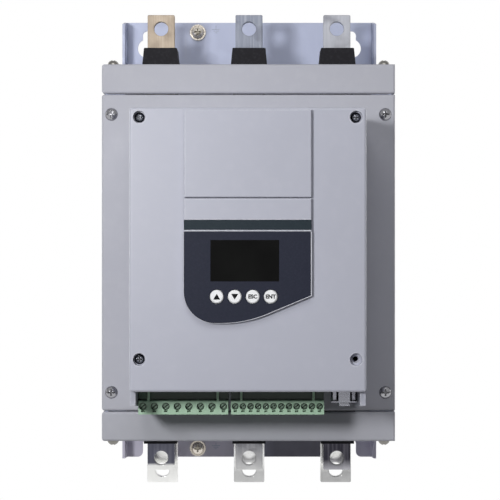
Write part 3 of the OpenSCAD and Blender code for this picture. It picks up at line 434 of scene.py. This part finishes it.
def cover_plastic():
    """Grey-lavender plastic with a soft sheen, a fine moulded grain, faint mottling, a painted
    highlight along its edges and painted shade in its creases.
    """
    s = Surface("cover_plastic", srgb(184, 186, 199), 0.4)
    s.edges(0.0004)
    s.fleck(srgb(177, 179, 192), s.noise(9, 4), 0.42, 0.68, 0.5)
    s.fleck(srgb(192, 193, 205), s.noise(140, 5), 0.5, 0.8, 0.35)
    # Pale colour along the edges: a painted highlight.
    s.painted_edge_highlight(srgb(222, 224, 232), amount=0.8, distance=0.0012)
    # Darker in creases and seams: painted shade.
    s.painted_crease_shade(srgb(112, 112, 122), amount=0.15, distance=0.003)
    s.roughness(s.noise(60), 0.37, 0.44)
    s.bump(s.noise(1800, 2), distance=0.00003, strength=0.4)
    return s.mat


def body_paint():
    """Grey paint on the body's covers, duller and less blue than the plastic."""
    s = Surface("body_paint", srgb(189, 190, 199), 0.6, specular=0.4)
    s.edges(0.0004)
    s.fleck(srgb(181, 182, 192), s.noise(7, 4), 0.42, 0.68, 0.5)
    s.fleck(srgb(198, 199, 206), s.noise(160, 5), 0.5, 0.8, 0.3)
    # Darker in creases and seams: painted shade.
    s.painted_crease_shade(srgb(108, 108, 114), amount=0.15, distance=0.003)
    s.roughness(s.noise(60), 0.55, 0.68)
    s.bump(s.noise(1400, 2), distance=0.00004, strength=0.5)
    return s.mat


def zinc_sheet():
    """Galvanised sheet: an even cool grey with a faint spangle, painted shade in its creases, and
    painted light and painted shade below the body.
    """
    s = Surface("zinc_sheet", srgb(193, 200, 225), 0.55, metal=0.15, specular=0.4)
    s.edges(0.0004)
    s.fleck(srgb(199, 205, 228), s.cells(160), 0.35, 0.75, 0.35)
    s.fleck(srgb(188, 194, 218), s.noise(22, 5), 0.52, 0.75, 0.3)
    s.fleck(srgb(204, 208, 226), s.noise(300, 3, stretch=(1, 1, 0.05)), 0.6, 0.75, 0.25)
    # Darker in creases: painted shade.
    s.painted_crease_shade(srgb(120, 122, 136), amount=0.3, distance=0.003)
    low = s.times(s.along("Z", PLATE_LOW_Z, 1, 0), s.along("Y", PLATE_FRONT_Y, 1, 0))
    # Painted light on the plate left of the middle, below the body.
    s.paint(srgb(208, 205, 222), s.times(low, s.along("X", PLATE_LIT_LEFT_X, 1, 0)))
    # Painted shade from the middle rightwards, where the body shades the plate.
    s.paint(srgb(112, 110, 122), s.times(low, s.along("X", PLATE_SHADE_X, 0, 0.95)))
    # Painted light at the right end, over the painted shade.
    s.paint(srgb(208, 206, 226), s.times(low, s.along("X", PLATE_LIT_RIGHT_X, 0, 1)))
    s.roughness(s.cells(160), 0.44, 0.58)
    s.bump(s.noise(900, 2, stretch=(1, 1, 0.1)), distance=0.00002, strength=0.3)
    return s.mat


def tinned_bar(name, colour, streak, dark, rough):
    """Tin-plated copper bar, brushed along its length, with dull patches."""
    s = Surface(name, colour, rough, metal=0.6)
    s.edges(0.0009)
    s.fleck(streak, s.noise(900, 3, stretch=(1, 1, 0.03)), 0.45, 0.7, 0.5)
    s.fleck(dark, s.noise(70, 5, distortion=0.6), 0.5, 0.72, 0.6)
    s.roughness(s.noise(120, 3), rough - 0.06, rough + 0.12)
    s.bump(s.noise(1400, 2, stretch=(1, 1, 0.04)), distance=0.00002, strength=0.5)
    return s.mat


def bright_bar(name, colour, streak, dark, foot, span):
    """Polished tinned bar, brushed lengthwise and tarnished in patches, its colour above and at its
    foot painted as the reflections it shows.
    """
    s = Surface(name, colour, 0.2, metal=1.0)
    s.edges(0.0008)
    s.fleck(streak, s.noise(500, 3, stretch=(1, 1, 0.03)), 0.45, 0.7, 0.7)
    s.fleck(dark, s.noise(90, 5, distortion=0.8), 0.52, 0.7, 0.6)
    # Foot colour below the given heights: painted reflection.
    s.paint(foot, s.along("Z", span, 1, 0))
    s.roughness(s.noise(120, 3), 0.14, 0.26)
    s.bump(s.noise(400, 2, stretch=(1, 1, 0.15)), distance=0.00004, strength=0.5)
    return s.mat


def rubber():
    """Dull black rubber."""
    s = Surface("boot_rubber", srgb(30, 29, 34), 0.6, specular=0.16)
    s.edges(0.0003)
    s.fleck(srgb(50, 49, 54), s.noise(500, 4), 0.5, 0.75, 0.5)
    s.bump(s.noise(1200, 3), distance=0.00005, strength=0.5)
    return s.mat


def dark_plastic(name, colour, lift):
    """Dark blue-grey moulded plastic with a fine matte grain."""
    s = Surface(name, colour, 0.45, specular=0.12)
    s.edges(0.0003)
    s.fleck(lift, s.noise(900, 4), 0.45, 0.75, 0.5)
    s.roughness(s.noise(200), 0.39, 0.55)
    s.bump(s.noise(2600, 2), distance=0.00002, strength=0.5)
    return s.mat


def window_glass():
    """Polished black display window."""
    s = Surface("window_black", srgb(22, 22, 22), 0.14, specular=0.06)
    s.fleck(srgb(30, 31, 30), s.noise(30, 3), 0.4, 0.7, 0.6)
    s.roughness(s.noise(80), 0.1, 0.2)
    return s.mat


def key_white():
    """Satin white key plastic."""
    s = Surface("key_white", srgb(252, 253, 255), 0.35)
    s.edges(0.0003)
    s.fleck(srgb(236, 238, 244), s.noise(300, 3), 0.5, 0.75, 0.4)
    s.bump(s.noise(2000, 2), distance=0.00002, strength=0.4)
    return s.mat


def plug_green(name, colour, lift, dark, painted_far_shade=None):
    """Green terminal plastic with faint flow marks, painted shade in its recesses, and where asked
    painted shade beyond the first poles.
    """
    s = Surface(name, colour, 0.42)
    s.edges(0.0002)
    s.fleck(lift, s.noise(160, 4), 0.48, 0.72, 0.6)
    if painted_far_shade:
        # Painted shade over the far poles, away from the light.
        s.paint(painted_far_shade, s.along("X", HEADER_SHADE_X, 0, 0.85))
    # Darker round the holes and in the recesses: painted shade.
    s.painted_crease_shade(dark, amount=0.5, distance=0.0018)
    s.bump(s.noise(1800, 2), distance=0.00002, strength=0.4)
    return s.mat


def steel(name, colour, rough, dark=srgb(70, 70, 74), metal=1.0):
    """Plated steel with fine scuffs and painted shade in its recesses."""
    s = Surface(name, colour, rough, metal)
    s.edges(0.0003)
    # Dark recesses: painted shade.
    s.painted_crease_shade(dark, amount=0.9, distance=0.002, full=0.55)
    s.roughness(s.noise(900, 3), rough - 0.08, rough + 0.1)
    s.bump(s.noise(2500, 2), distance=0.00001, strength=0.5)
    return s.mat


def plain_inner(name, colour, rough=0.55, metal=0.0):
    """Finish of a piece that lies mostly inside."""
    s = Surface(name, colour, rough, metal)
    darker = tuple(c * INNER_PATCH for c in colour[:3]) + (1,)
    s.fleck(darker, s.noise(250, 4), 0.45, 0.7, 0.5)
    s.bump(s.noise(1500, 2), distance=0.00003, strength=0.5)
    return s.mat


def printed_ink():
    """Dark printing ink."""
    s = Surface("ink_dark", srgb(12, 13, 16), 0.5, specular=0.1)
    s.fleck(srgb(28, 29, 33), s.noise(1500, 3), 0.5, 0.7, 0.5)
    return s.mat


def rim_painted_highlight():
    """Pale cover plastic of the thin rim round the keypad, a painted highlight of the keypad's
    raised edge.
    """
    s = Surface("rim_painted_highlight", srgb(222, 223, 232), 0.4)
    s.fleck(srgb(206, 207, 218), s.noise(260, 4), 0.45, 0.7, 0.5)
    s.bump(s.noise(1800, 2), distance=0.00002, strength=0.4)
    return s.mat


def stamp_light():
    """Stamped zinc, duller than the sheet round it and flecked with light."""
    s = Surface("stamp_light", srgb(158, 166, 190), 0.5, metal=0.15)
    s.fleck(srgb(200, 206, 222), s.noise(900, 3), 0.45, 0.65, 0.8)
    return s.mat


def assign(material, *names):
    """Gives CAD nodes a material."""
    for name in names:
        for slot in NODES[name].material_slots:
            slot.material = material


def numbered(name, count):
    """Names of a repeated node."""
    return [f"{name}_{i + 1}" for i in range(count)]


def dress_outside():
    """Materials of the nodes seen from outside."""
    assign(body_paint(), "main_cover", "top_cap", "bottom_cap")
    assign(cover_plastic(), "control_housing", "front_cover", "blank_plate")
    assign(zinc_sheet(), "mounting_chassis")
    for make, label, node, finishes in (
            (tinned_bar, "line_tin", "line_bar", LINE_TIN),
            (bright_bar, "motor_tin_reflected", "motor_bar", MOTOR_TIN_AND_REFLECTION),
            (bright_bar, "bypass_tin_reflected", "bypass_bar", BYPASS_TIN_AND_REFLECTION)):
        for i, finish in enumerate(finishes):
            assign(make(f"{label}_{i + 1}", *finish), f"{node}_{i + 1}")
    assign(rubber(), *numbered("top_boot", 3), *numbered("bottom_boot", 3))
    assign(dark_plastic("band_dark", srgb(40, 50, 57), srgb(50, 60, 67)), "trim_band")
    assign(dark_plastic("keypad_dark", srgb(40, 43, 57), srgb(49, 51, 66)), "keypad_panel")
    assign(window_glass(), "display_window")
    assign(key_white(), "key_up", "key_down", "key_escape", "key_enter")
    assign(plug_green("plug_green", srgb(190, 226, 196), srgb(208, 238, 212), srgb(84, 114, 88)),
           "relay_plug", "control_plug")
    # Headers: the plugs' plastic painted darker as shade under the cover, with more painted shade
    # beyond the first poles.
    assign(plug_green("header_green", srgb(70, 98, 80), srgb(86, 112, 94), srgb(20, 30, 24),
                      painted_far_shade=srgb(46, 56, 50)),
           "relay_header", "control_header")


def dress_screws():
    """Materials of the screws and the serial port."""
    assign(steel("screw_zinc", srgb(160, 160, 164), 0.22),
           "body_screws", "busbar_bolts", "module_screws")
    assign(steel("side_screw_steel", srgb(136, 134, 130), 0.3, srgb(54, 53, 50)), "cap_screws")
    assign(steel("clamp_steel", srgb(150, 176, 156), 0.26, srgb(24, 36, 26), metal=0.5),
           "relay_clamp_screws", "control_clamp_screws")
    # Grey steel; the cover screws look dark from the painted shade in their recesses.
    assign(steel("cover_screw_steel", srgb(150, 152, 160), 0.26, srgb(10, 10, 12)), "cover_screws")
    assign(steel("screw_yellow_zinc", srgb(244, 236, 224), 0.28, srgb(128, 120, 104), metal=0.7),
           "earth_screws")
    assign(steel("port_nickel", srgb(172, 173, 182), 0.26), "serial_port")


def dress_inside():
    """Materials of the nodes inside the body."""
    assign(plain_inner("sink_aluminium", srgb(176, 178, 182), 0.4, metal=0.8), "heatsink")
    assign(plain_inner("module_case", srgb(70, 72, 76)), *numbered("thyristor_module", 3))
    assign(plain_inner("transformer_case", srgb(34, 40, 62)), *numbered("current_transformer", 3))
    assign(plain_inner("fan_plastic", srgb(34, 34, 36)),
           *numbered("fan_frame", 2), *numbered("fan_rotor", 2))
    assign(plain_inner("display_grey", srgb(92, 98, 86)), "display_module")
    assign(plain_inner("board_green", srgb(28, 78, 48), 0.35),
           "keypad_board", "control_board", "firing_board")
    assign(plain_inner("spacer_brass", srgb(184, 160, 104), 0.35, metal=0.85), "board_spacers")


# Small marks


def piece_from_bmesh(name, bm, material, body):
    """Object of a bmesh that rides on a body."""
    mesh = bpy.data.meshes.new(name)
    bm.to_mesh(mesh)
    bm.free()
    mesh.materials.append(material)
    obj = linked(name, mesh)
    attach(obj, body)
    return obj


def flat_shape(bm, outline, y_front, y_back):
    """Prism of an outline in X and Z between two depths."""
    front = [bm.verts.new((x, y_front, z)) for x, z in outline]
    back = [bm.verts.new((x, y_back, z)) for x, z in outline]
    bm.faces.new(front)
    bm.faces.new(back[::-1])
    count = len(outline)
    for i in range(count):
        j = (i + 1) % count
        bm.faces.new((front[j], front[i], back[i], back[j]))
    bmesh.ops.recalc_face_normals(bm, faces=bm.faces)


def letters_mesh(name, text, centre, y_front):
    """Thin letters as a mesh, standing in X and Z."""
    curve = bpy.data.curves.new(name, "FONT")
    curve.body = text
    curve.size = WORD_SIZE
    curve.align_x = "CENTER"
    curve.align_y = "CENTER"
    curve.offset = WORD_SIZE * WORD_WEIGHT
    curve.extrude = MARK_THICK / 2
    curve.resolution_u = WORD_STEPS
    obj = linked(name, curve)
    bpy.context.view_layer.update()
    mesh = bpy.data.meshes.new_from_object(obj)
    bpy.data.objects.remove(obj)
    mesh.transform(Matrix.Rotation(math.radians(90), 4, "X"))
    mesh.transform(Matrix.Translation((centre[0], y_front + MARK_THICK / 2, centre[1])))
    return mesh


def key_marks():
    """Arrow heads and short words on the keys."""
    ink = printed_ink()
    for name, turn in (("key_up", 1), ("key_down", -1)):
        low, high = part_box(name)
        x, z = (low[0] + high[0]) / 2, (low[2] + high[2]) / 2
        rise = ARROW_RISE * turn
        outline = [(x - ARROW_HALF, z - rise), (x + ARROW_HALF, z - rise), (x, z + rise)]
        bm = bmesh.new()
        flat_shape(bm, outline, low[1] - MARK_PROUD, low[1] + MARK_THICK)
        piece_from_bmesh(name + "_arrow", bm, ink, name)
    for name, word in (("key_escape", "ESC"), ("key_enter", "ENT")):
        low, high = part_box(name)
        x, z = (low[0] + high[0]) / 2, (low[2] + high[2]) / 2
        mesh = letters_mesh(name + "_word", word, (x, z), low[1] - MARK_PROUD)
        mesh.materials.append(ink)
        obj = linked(name + "_word", mesh)
        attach(obj, name)


def front_outline(name):
    """Outer loop of a node's front face, as points in X and Z."""
    node = NODES[name]
    bm = bmesh.new()
    bm.from_mesh(node.data)
    bm.transform(node.matrix_world)
    bmesh.ops.remove_doubles(bm, verts=bm.verts, dist=SAME_POINT)
    front = min(v.co.y for v in bm.verts)
    faces = [f for f in bm.faces if all(abs(v.co.y - front) < SAME_LEVEL for v in f.verts)]
    after = {}
    for face in faces:
        for loop in face.loops:
            if sum(f in faces for f in loop.edge.link_faces) == 1:
                after[loop.vert] = loop.link_loop_next.vert
    widest, outline = 0, []
    while after:
        start, vert = after.popitem()
        ring = [start]
        while vert in after:
            ring.append(vert)
            vert = after.pop(vert)
        xs = [v.co.x for v in ring]
        if max(xs) - min(xs) > widest:
            widest = max(xs) - min(xs)
            outline = [(v.co.x, v.co.z) for v in ring]
    bm.free()
    return outline


def below_top_edge(points):
    """An outline's points from its upper right corner round the foot to its upper left one."""
    area = sum(a[0] * b[1] - b[0] * a[1] for a, b in zip(points, points[1:] + points[:1]))
    if area > 0:
        points = points[::-1]
    top = max(z for x, z in points)

    def corner(side):
        upper = [i for i, (x, z) in enumerate(points) if z > top - SAME_LEVEL]
        return max(upper, key=lambda i: points[i][0] * side)

    right = corner(1)
    points = points[right:] + points[:right]
    return points[:corner(-1) + 1]


def keypad_rim():
    """Thin pale rim of the cover round the keypad's two sides and foot, painted as the highlight of
    the keypad's edge.
    """
    inner = below_top_edge(front_outline("keypad_panel"))
    x_left, x_right = inner[-1][0], inner[0][0]
    outer = []
    for i, (x, z) in enumerate(inner):
        ax, az = inner[max(i - 1, 0)]
        bx, bz = inner[min(i + 1, len(inner) - 1)]
        length = math.hypot(bx - ax, bz - az)
        share = max(0, (x - x_left) / (x_right - x_left))
        wide = RIM_THIN + (RIM_WIDE - RIM_THIN) * share
        outer.append((x - (bz - az) / length * wide, z + (bx - ax) / length * wide))
    y_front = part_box("front_cover")[0][1] + RIM_SET
    y_back = y_front + RIM_DEEP
    bm = bmesh.new()
    rows = [[bm.verts.new((x, y, z)) for x, z in line]
            for line, y in ((inner, y_front), (outer, y_front), (outer, y_back), (inner, y_back))]
    for a, b in zip(rows, rows[1:] + rows[:1]):
        for i in range(len(inner) - 1):
            bm.faces.new((a[i], a[i + 1], b[i + 1], b[i]))
    for i in (0, len(inner) - 1):
        bm.faces.new([row[i] for row in rows])
    bmesh.ops.recalc_face_normals(bm, faces=bm.faces)
    piece_from_bmesh("keypad_rim", bm, rim_painted_highlight(), "unit")


def earth_marks():
    """Stamped earth signs on the plate beside the earth screws."""
    zinc = stamp_light()
    half_line = EARTH_LINE / 2
    for i, (x, z) in enumerate(EARTH_MARKS):
        lines = [(half, z + drop - half_line, z + drop + half_line) for half, drop in EARTH_BARS]
        lines.append((half_line, z, z + EARTH_STEM))
        bm = bmesh.new()
        for half, low, high in lines:
            outline = [(x - half, low), (x + half, low), (x + half, high), (x - half, high)]
            flat_shape(bm, outline, PLATE_FRONT - EARTH_PROUD, PLATE_FRONT + EARTH_PROUD)
        piece_from_bmesh(f"earth_mark_{i + 1}", bm, zinc, "unit")


bpy.context.scene.view_settings.view_transform = "Standard"
make_camera()
make_floor()
make_world()
make_lights()
dress_outside()
dress_screws()
dress_inside()
key_marks()
keypad_rim()
earth_marks()
